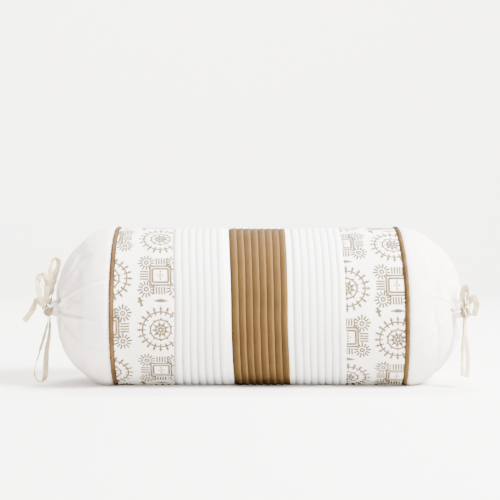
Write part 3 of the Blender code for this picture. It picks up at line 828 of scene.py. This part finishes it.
def pattern(columns):
    """All the strokes of one band in millimetres: along the bolster, and around it from the front."""
    strokes, repeat = [], REPEAT / MM
    for number, (column, height) in enumerate(columns):
        for turn in range(REPEATS_AROUND):
            up = height + turn * repeat
            strokes += moved(medallion(), column, up)
            strokes += moved(wheel(), column, up - repeat / 2 - 3)
            # The leaf and the twig fill the gaps that the larger motifs leave.
            strokes += moved(leaf(), column, up - 28)
            strokes += moved(twig(0.3), column + (-21 if number else 34), up - (29 if number else -27.5))
    return strokes

# %% [markdown]
# A stroke becomes a mesh edge, the tree cuts it into short pieces, and a flat six-sided profile gives it its width.
# The strokes are clipped at the band's two seams before they are wrapped, as the cloth was when it was cut.

# %% The printed-line tree, and wrapping the print round the band
PRINT_LINES = Tree("Printed lines", {"Step": float, "Thickness": float, "Material": None})


def build_print_tree(t):
    lines = t.node("GeometryNodeMeshToCurve", Mesh=t.group.nodes[0].outputs[0])[0]
    lines = t.node("GeometryNodeResampleCurve", {"mode": "LENGTH"}, Curve=lines, Length=t.given["Step"])[0]
    width = t.node("GeometryNodeInputNamedAttribute", {"data_type": "FLOAT"}, Name="half_width")[0]
    profile = t.node("GeometryNodeCurvePrimitiveCircle", {"mode": "RADIUS"}, Resolution=6, Radius=1.0)[0]
    strips = t.node("GeometryNodeCurveToMesh", Curve=lines, Profile_Curve=profile, Scale=width, Fill_Caps=True)[0]
    where = t.node("ShaderNodeSeparateXYZ", Vector=t.node("GeometryNodeInputPosition")[0])
    thin = t.math("MULTIPLY", t.math("SIGN", where[2]), t.given["Thickness"])
    thin = t.math("MULTIPLY", thin, t.math("GREATER_THAN", t.math("ABSOLUTE", where[2]), 0.0001 * MM))
    flat = t.node("ShaderNodeCombineXYZ", X=where[0], Y=where[1], Z=thin)[0]
    t.end(t.node("GeometryNodeSetPosition", Geometry=strips, Position=flat)[0])


build_print_tree(PRINT_LINES)


def clipped(stroke, low, high):
    """The part of each stroke that lies between the two seams, as one or more strokes."""
    runs, run = [], []
    for start, end in zip(stroke, stroke[1:]):
        inside = [low <= start[0] <= high, low <= end[0] <= high]
        if inside[0] and not run:
            run = [start]
        if inside[0] != inside[1]:
            edge = low if min(start[0], end[0]) < low else high
            share = (edge - start[0]) / (end[0] - start[0])
            cut = (edge, start[1] + share * (end[1] - start[1]))
            run = run + [cut] if inside[0] else [cut, end]
        elif inside[1]:
            run.append(end)
        if run and not inside[1]:
            runs.append(run)
            run = []
    if run:
        runs.append(run)
    return [run for run in runs if math.dist(run[0], run[-1]) > 0.2 or len(run) > 3]


def flat_drawing(name, strokes, low, high):
    """The strokes as a mesh of edges, with each stroke's half width on its points."""
    points, edges, widths = [], [], []
    for stroke, width in strokes:
        for run in clipped(stroke, low, high):
            closed = math.dist(run[0], run[-1]) < 1e-6
            first = len(points)
            kept = run[:-1] if closed else run
            points += [(x * MM, y * MM, 0) for x, y in kept]
            widths += [width * PRINT_WEIGHT * MM] * len(kept)
            edges += [(first + i, first + i + 1) for i in range(len(kept) - 1)]
            if closed:
                edges.append((len(points) - 1, first))
    mesh = bpy.data.meshes.new(name)
    mesh.from_pydata(points, edges, [])
    mesh.attributes.new("half_width", "FLOAT", "POINT").data.foreach_set("value", widths)
    return mesh


def print_band(side, sign):
    name = f"{side}_print"
    low, high = sorted((sign * (WHITE_EDGE / MM + 0.5), sign * (PIPING_AT / MM - 2.4)))
    drawing = flat_drawing(name, pattern(COLUMNS[side]), low, high)
    settings = {"Step": 1.6 * MM, "Thickness": 0.05 * MM, "Material": GOLD_PRINT}
    piece = made_by(PRINT_LINES, name, settings, drawing)
    x, around, above = coordinates(piece).T
    move_to(piece, in_use(about_axis(x, BODY_RADIUS - 0.02 * MM + above, around / BODY_RADIUS)))
    facing_out(piece)
    sewn_on(piece, "tan_sateen")
    print(f"{name}: {len(piece.data.polygons)} faces")


for side, sign in SIDES:
    print_band(side, sign)

# %% [markdown]
# ## The brown piping
#
# Piping is a strip of cloth folded round a thin cord and caught in the seam. The strip is cut on the bias, at 45
# degrees to the threads, so it goes round a curve but puckers a little. The pucker is a slow wave that runs round
# the tube at an angle. A row of stitches holds its edge on the printed side.

# %% Surfaces turned about the bolster's axis


def turned(name, outline, around, material, wave=None, closed=True, flipped=False):
    """An outline of (x, radius) points turned about the axis, as a closed tube or an open sheet, with a UV map."""
    outline = np.array(outline)
    count = len(outline)
    angles = np.arange(around) * math.tau / around
    angle = np.repeat(angles, count)
    x, radius = np.tile(outline[:, 0], around), np.tile(outline[:, 1], around)
    if wave:
        x, radius = wave(x, radius, angle)
    strips = count if closed else count - 1
    faces = []
    for i in range(around):
        a, b = i * count, ((i + 1) % around) * count
        faces += [(a + j, b + j, b + (j + 1) % count, a + (j + 1) % count) for j in range(strips)]
    mesh = bpy.data.meshes.new(name)
    mesh.from_pydata(about_axis(x, radius, angle).tolist(), [], [face[::-1] if flipped else face for face in faces])
    lengths = np.concatenate([[0], np.cumsum(np.linalg.norm(np.diff(outline, axis=0), axis=1))])
    corners = np.array([loop.vertex_index for loop in mesh.loops])
    turn = angles[corners // count]
    if not closed:
        turn += math.tau * ((np.repeat(np.arange(around), 4 * strips) == around - 1) & (corners // count == 0))
    uv = np.stack([lengths[corners % count], turn * (outline[:, 1].max() if closed else SLEEVE_RADIUS)], axis=1)
    mesh.uv_layers.new(name="UVMap").data.foreach_set("uv", uv.ravel())
    mesh.materials.append(material)
    return new_piece(name, mesh)

# %% Making the piping and the rows of stitches
STITCHES = Tree("Row of stitches", {"Radius": float, "Count": int, "Length": float, "Thickness": float,
                                    "Material": None})


def build_stitch_tree(t):
    row = t.node("GeometryNodeMeshCircle", Vertices=t.given["Count"], Radius=t.given["Radius"])[0]
    upright = t.node("GeometryNodeTransform", Geometry=row, Rotation=(0, math.pi / 2, 0))[0]
    around = t.node("ShaderNodeVectorMath", {"operation": "CROSS_PRODUCT"}, i0=(1, 0, 0),
                    i1=t.node("GeometryNodeInputPosition")[0])[0]
    aim = t.node("FunctionNodeAlignRotationToVector", {"axis": "Z"}, Vector=around)[0]
    stitch = t.node("GeometryNodeMeshCylinder", Vertices=6, Radius=t.given["Thickness"], Depth=t.given["Length"])[0]
    t.end(t.node("GeometryNodeInstanceOnPoints", Points=upright, Instance=stitch, Rotation=aim)[0])


build_stitch_tree(STITCHES)


def stitch_row(name, x, radius, count, length):
    piece = made_by(STITCHES, name, {"Radius": radius, "Count": count, "Length": length, "Thickness": 0.34 * MM,
                                     "Material": BROWN_THREAD})
    piece.data.transform(Matrix.Translation((x, 0, 0)))
    lay(piece)
    sewn_on(piece, "tan_sateen")
    print(f"{name}: {count} stitches")


def pucker(x, radius, angle):
    """Bias cloth's shallow, slanting puckers, deeper on the crown of the tube than in the seam."""
    middle = COVER_INSIDE + PIPING_RADIUS
    round_tube = np.arctan2(radius - middle, x - x.mean())
    ripple = 0.11 * np.sin(118 * angle + 1.1 * round_tube) + 0.07 * np.sin(47 * angle - round_tube + 1.3)
    grow = 1 + ripple * MM / PIPING_RADIUS
    return x.mean() + (x - x.mean()) * grow, middle + (radius - middle) * grow


def make_piping(side, sign):
    x, height = sign * PIPING_AT, COVER_INSIDE + PIPING_RADIUS
    ring = [(x + sign * PIPING_RADIUS * math.cos(a), height + PIPING_RADIUS * math.sin(a))
            for a in np.radians(np.linspace(-160, 160, 17))]
    lip_edge = x - sign * (PIPING_RADIUS + 1.3 * MM)
    ring += [(lip_edge, BODY_RADIUS + 0.28 * MM), (lip_edge, BODY_RADIUS - 0.1 * MM)]
    piece = turned(f"{side}_piping", ring, 720, PIPING_CLOTH, pucker)
    lay(piece, PIPING_CROWN)
    facing_out(piece)
    sewn_on(piece, "tan_sateen", f"{side}_piping_strip", f"{side}_piping_cord")
    stitch_row(f"{side}_piping_stitches", sign * (PIPING_AT - PIPING_RADIUS - 0.6 * MM), BODY_RADIUS + 0.4 * MM,
               170, 2.0 * MM)


for side, sign in SIDES:
    make_piping(side, sign)

# %% [markdown]
# ## The gathered ends
#
# Each end is a tube of white cotton whose far edge is folded into a channel, and the tape in that channel draws it
# shut. The cloth is let go in a short simulation, held at the piping and at the hem with a light pressure inside,
# so that it fills out as a stuffed end does. The pleats and creases come after it, since they are sharper than the
# simulated cloth's own faces could be.

# %% The end's outline, from the piping to the raw edge inside the hem


def dome(steps, pole=0.0, inset=0.0):
    """The end's rounded outline with its dimple, from its edge to an angle from the axis, moved in by an inset."""
    line = []
    for angle in np.linspace(math.pi / 2, pole, steps):
        radius = (SLEEVE_RADIUS - inset) * math.sin(angle)
        dimple = DIMPLE_DEPTH * math.exp(-((radius / DIMPLE_RADIUS) ** 2))
        line.append((END_START + (END_DEPTH - inset) * math.cos(angle) - dimple, radius))
    return line


def hem_outline(start):
    """The hem's channel: out along the outside, over the rounded rim, and back in beside the tape."""
    rim = (HEM_OUTSIDE - HEM_BORE) / 2
    turn = [(start + HEM_LENGTH - rim + rim * math.sin(a), HEM_OUTSIDE - rim + rim * math.cos(a))
            for a in np.linspace(0, math.pi, 6)]
    straight = np.linspace(start, start + HEM_LENGTH - rim, 5)[1:-1]
    return [(x, HEM_OUTSIDE) for x in straight] + turn + [(x, HEM_BORE) for x in straight[::-1]]

# %% A short cloth simulation, with a limit on how far any point may move


def filled_out(piece, held, pressure, limit, frames=16):
    """Lets the cloth fill out under pressure. Nothing of the simulation stays on the piece."""
    start = coordinates(piece)
    group = piece.vertex_groups.new(name="held")
    group.add([int(i) for i in np.flatnonzero(held)], 1.0, "REPLACE")
    cloth = piece.modifiers.new("Cloth", "CLOTH")
    rules = cloth.settings
    rules.quality, rules.mass, rules.bending_stiffness = 6, 0.15, 0.2
    rules.tension_stiffness = rules.compression_stiffness = 12
    rules.vertex_group_mass = "held"
    rules.use_pressure, rules.uniform_pressure_force = True, pressure
    rules.shrink_min = -0.05
    rules.effector_weights.gravity = 0
    cloth.collision_settings.use_collision = False
    cloth.point_cache.frame_start, cloth.point_cache.frame_end = 1, frames
    for number in range(1, frames + 1):
        bpy.context.scene.frame_set(number)
    settled(piece)
    piece.vertex_groups.clear()
    bpy.context.scene.frame_set(1)
    move = coordinates(piece) - start
    far = np.linalg.norm(move, axis=1, keepdims=True)
    inwards = np.sum(move * start * (0, 1, 1), axis=1, keepdims=True) < 0
    move *= np.minimum(1, np.where(inwards, limit / 4, limit) / np.maximum(far, 1e-9))
    move_to(piece, start + move)
    print(f"{piece.name}: filled out by up to {far.max() / MM:.1f} mm, kept to {limit / MM:.1f} mm")

# %% Pleats at the gather, and the creases in the cloth
PLEATS, PLEAT_SEEDS = 22, {"left": 23, "right": 41}


def nudge(piece, amount):
    """Moves each point along its own normal."""
    normals = np.empty(len(piece.data.vertices) * 3)
    piece.data.vertices.foreach_get("normal", normals)
    move_to(piece, coordinates(piece) + normals.reshape(-1, 3) * amount[:, None])


def pleat(piece, side):
    """Narrow grooves that leave the gather and fade at different distances from it, with puffed cloth between."""
    chance = np.random.default_rng(PLEAT_SEEDS[side])
    points = coordinates(piece)
    radius, angle = np.hypot(points[:, 1], points[:, 2]), np.arctan2(points[:, 2], -points[:, 1])
    amount = np.zeros(len(points))
    for number in range(PLEATS):
        middle = math.tau * (number + chance.uniform(-0.3, 0.3)) / PLEATS
        reach, depth = chance.uniform(14, 72) * MM, chance.uniform(0.7, 1.9) * MM
        bend = chance.uniform(-0.25, 0.25)
        off = (angle - middle - bend * radius / BODY_RADIUS + math.pi) % math.tau - math.pi
        wide = 0.75 * MM + 0.055 * radius
        fade = smooth_step(1 - (radius - HEM_OUTSIDE) / reach) * np.where(radius > HEM_BORE + 0.5 * MM, 1, 0.3)
        amount -= depth * fade * np.exp(-((off * radius / wide) ** 2))
        amount += 0.45 * depth * fade * np.exp(-((np.abs(off) * radius / wide - 1.9) ** 2))
    nudge(piece, amount)


def crease(piece, path, wide, depth, lip=0.6):
    """One sharp crease through (x, height) points on the front of the finished bolster, with a lip above it."""
    line, wide, depth = np.array(path) * MM, wide * MM, depth * MM
    cloth = coordinates(piece)
    points = cloth[:, [0, 2]]
    nearest, along, above = np.full(len(points), 1.0), np.zeros(len(points)), np.zeros(len(points))
    total = len(line) - 1
    for number, (start, end) in enumerate(zip(line, line[1:])):
        run = end - start
        share = np.clip((points - start) @ run / (run @ run), 0, 1)
        gap = points - start - share[:, None] * run
        far = np.linalg.norm(gap, axis=1)
        closer = far < nearest
        nearest[closer], above[closer] = far[closer], gap[closer, 1]
        along[closer] = ((number + share) / total)[closer]
    fade = smooth_step(np.minimum(along, 1 - along) * 4 + 0.15) * (cloth[:, 1] < 0)
    side = np.sign(above) * nearest / wide
    nudge(piece, depth * fade * (lip * np.exp(-(((side - 2.2) / 1.5) ** 2)) - np.exp(-(side ** 2))))

# %% Making the two ends
# Each crease: its (x, height) points in millimetres, its half width and its depth. The short ones at the foot of each
# list are small pits where the cloth dives into the gather.
CREASES = {
    "left": [
        ([(-222, 86), (-212, 97), (-196, 107), (-180, 113), (-163, 117)], 1.5, 2.6),
        ([(-219, 80), (-206, 78), (-190, 76), (-174, 71)], 1.6, 2.1),
        ([(-190, 47), (-178, 42), (-165, 39)], 1.7, 1.7),
        ([(-214, 70), (-204, 58), (-190, 48)], 1.7, 1.1),
        ([(-219, 96), (-210, 114), (-196, 131), (-180, 143)], 2.0, 1.5),
        ([(-214, 118), (-203, 138), (-188, 154)], 2.2, 1.0),
        ([(-204, 92), (-190, 94), (-174, 98)], 1.8, 0.7),
        ([(-223, 90), (-219, 90.5)], 1.5, 2.6),
        ([(-220, 79.5), (-216, 79)], 1.5, 2.6),
    ],
    "right": [
        ([(213, 84), (198, 70), (182, 58)], 1.7, 1.3),
        ([(214, 91), (200, 99), (184, 104)], 1.8, 1.0),
        ([(212, 79), (204, 60), (196, 42)], 1.7, 1.2),
        ([(213, 96), (204, 114), (192, 130)], 2.0, 0.9),
        ([(216, 87), (213, 87)], 1.5, 2.6),
    ],
}
PRESSURE, MOST_MOVE = 9.0, 3.0 * MM


def make_end(side, sign):
    line = [(END_START - 2.2 * MM, SLEEVE_RADIUS - 1.1 * MM)]
    line += dome(26, math.asin(HEM_OUTSIDE / SLEEVE_RADIUS))
    line += hem_outline(line[-1][0])
    piece = turned(f"{side}_gathered_end", np.array(line) * (sign, 1), 176, WHITE_COTTON, closed=False,
                   flipped=sign < 0)
    x, front, up = coordinates(piece).T
    held = (sign * x < END_START + 1 * MM) | (np.hypot(front, up) < HEM_OUTSIDE + 3 * MM)
    filled_out(piece, held, PRESSURE, MOST_MOVE)
    finer = piece.modifiers.new("Finer", "SUBSURF")
    finer.levels = finer.render_levels = 1
    settled(piece)
    pleat(piece, side)
    lay(piece)
    for path, wide, depth in CREASES[side]:
        crease(piece, path, wide, depth)
    walled(piece, CLOTH)
    points = coordinates(piece)
    points[:, 2] = np.maximum(points[:, 2], FLOOR_GAP)
    move_to(piece, points)
    sewn_on(piece, "white_cotton", f"{side}_end_sleeve")
    print(f"{piece.name}: {len(piece.data.polygons)} faces")


for side, sign in SIDES:
    make_end(side, sign)

# %% [markdown]
# The tape runs inside the hem and leaves it through a buttonhole to the knot. Most of it is hidden, so the packed
# model's own ring stays, with the same cotton finish as the tapes.

# %% The drawstrings
for side, _ in SIDES:
    string = frame["nodes"][f"{side}_drawstring"]
    string.data.materials.clear()
    string.data.materials.append(CREAM_TAPE)
    print("finished", string.name)

# %% [markdown]
# ## The insert
#
# Inside the cover is a calico case with a tube and two round ends, stuffed with fibre. It is out of sight, but the
# cover can be opened, so it is made too: a closed wall for each calico part, and lumpy fibre that fills them.

# %% Making the insert
INSERT_END, INSERT_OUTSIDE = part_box("insert_panel")[1][:2]


def close_poles(piece):
    """Merges the points that meet on the axis."""
    work = bmesh.new()
    work.from_mesh(piece.data)
    bmesh.ops.remove_doubles(work, verts=work.verts, dist=0.02 * MM)
    bmesh.ops.delete(work, geom=[edge for edge in work.edges if not edge.link_faces], context="EDGES")
    work.to_mesh(piece.data)
    work.free()


def insert_part(name, outline, around, material, slot, node):
    piece = turned(name, outline, around, material)
    if min(radius for _, radius in outline) < CLOTH:
        close_poles(piece)
    lay(piece)
    facing_out(piece)
    sewn_on(piece, slot, node)
    print(f"{name}: {len(piece.data.polygons)} faces")
    return piece


along = np.linspace(-INSERT_END, INSERT_END, 60)
insert_part("insert_tube", [(x, INSERT_OUTSIDE) for x in along] + [(x, INSERT_OUTSIDE - 1 * MM) for x in along[::-1]],
            160, CALICO, "calico", "insert_panel")
for side, sign in SIDES:
    wall = np.array(dome(30, inset=2.2 * MM) + dome(30, inset=3.0 * MM)[::-1]) * (sign, 1)
    insert_part(f"{side}_insert_cap", wall, 120, CALICO, "calico", f"{side}_insert_end")
inside = dome(30, inset=4.4 * MM)
fibre = insert_part("fibre", inside + [(-x, radius) for x, radius in inside[::-1]], 120, FIBRE_FILL, "fibre_fill",
                    "insert_filling")

# %% [markdown]
# ## The floor and the light
#
# The bolster stands on a round, pale floor whose rim curves up on every side, so that there is no line behind it from
# wherever it is seen. The light is soft and comes from above and to the right, as it does near a large window.

# %% Floor
PALE_FLOOR = finish("pale_floor", (0.78, 0.76, 0.735), 0.9, shine=0.0)[0]


def floor_bowl(flat=2.9, rim=1.1, top=3.4, around=96):
    """A disc whose edge curves up into an upright wall, as one mesh."""
    profile = [(radius, 0.0) for radius in np.linspace(0.3, flat, 6)]
    profile += [(flat + rim * math.sin(a), rim - rim * math.cos(a)) for a in np.linspace(0.1, math.pi / 2, 14)]
    profile.append((flat + rim, top))
    points = [(0, 0, 0)] + [(radius * math.cos(a), radius * math.sin(a), z) for radius, z in profile
                            for a in np.arange(around) * math.tau / around]
    faces = [(0, 1 + i, 1 + (i + 1) % around) for i in range(around)]
    for ring in range(len(profile) - 1):
        a, b = 1 + ring * around, 1 + (ring + 1) * around
        faces += [(a + i, b + i, b + (i + 1) % around, a + (i + 1) % around) for i in range(around)]
    mesh = bpy.data.meshes.new("floor")
    mesh.from_pydata(points, [], faces)
    mesh.materials.append(PALE_FLOOR)
    mesh.shade_smooth()
    new_piece("floor", mesh)
    print(f"floor: {2 * (flat + rim):.1f} m across")


floor_bowl()

# %% Lights


def soft_light(name, place, aim, size, power):
    data = bpy.data.lights.new(name, "AREA")
    data.shape, data.size, data.energy = "DISK", size, power
    light = bpy.data.objects.new(name, data)
    light.location = place
    light.rotation_euler = (Vector(aim) - Vector(place)).to_track_quat("-Z", "Y").to_euler()
    bpy.context.scene.collection.objects.link(light)
    print(f"{name}: {power} W, {size} m across")


soft_light("window", (1.5, -0.9, 1.6), (0, 0, 0.08), 1.15, 510)
soft_light("front_fill", (1.2, -2.6, 0.9), (0, 0, 0.08), 1.2, 50)
soft_light("backdrop_light", (0, 0.9, 2.8), (0, 3.4, 0.5), 1.4, 560)
room = bpy.data.worlds.new("room")
room.use_nodes = True
sky = room.node_tree.nodes["Background"].inputs
sky["Color"].default_value, sky["Strength"].default_value = (0.97, 0.98, 1.0, 1), 0.5
bpy.context.scene.world = room

# %% [markdown]
# ## The end

# The finished cloth may stand only a little proud of the imported model.

# %% The last import
import json
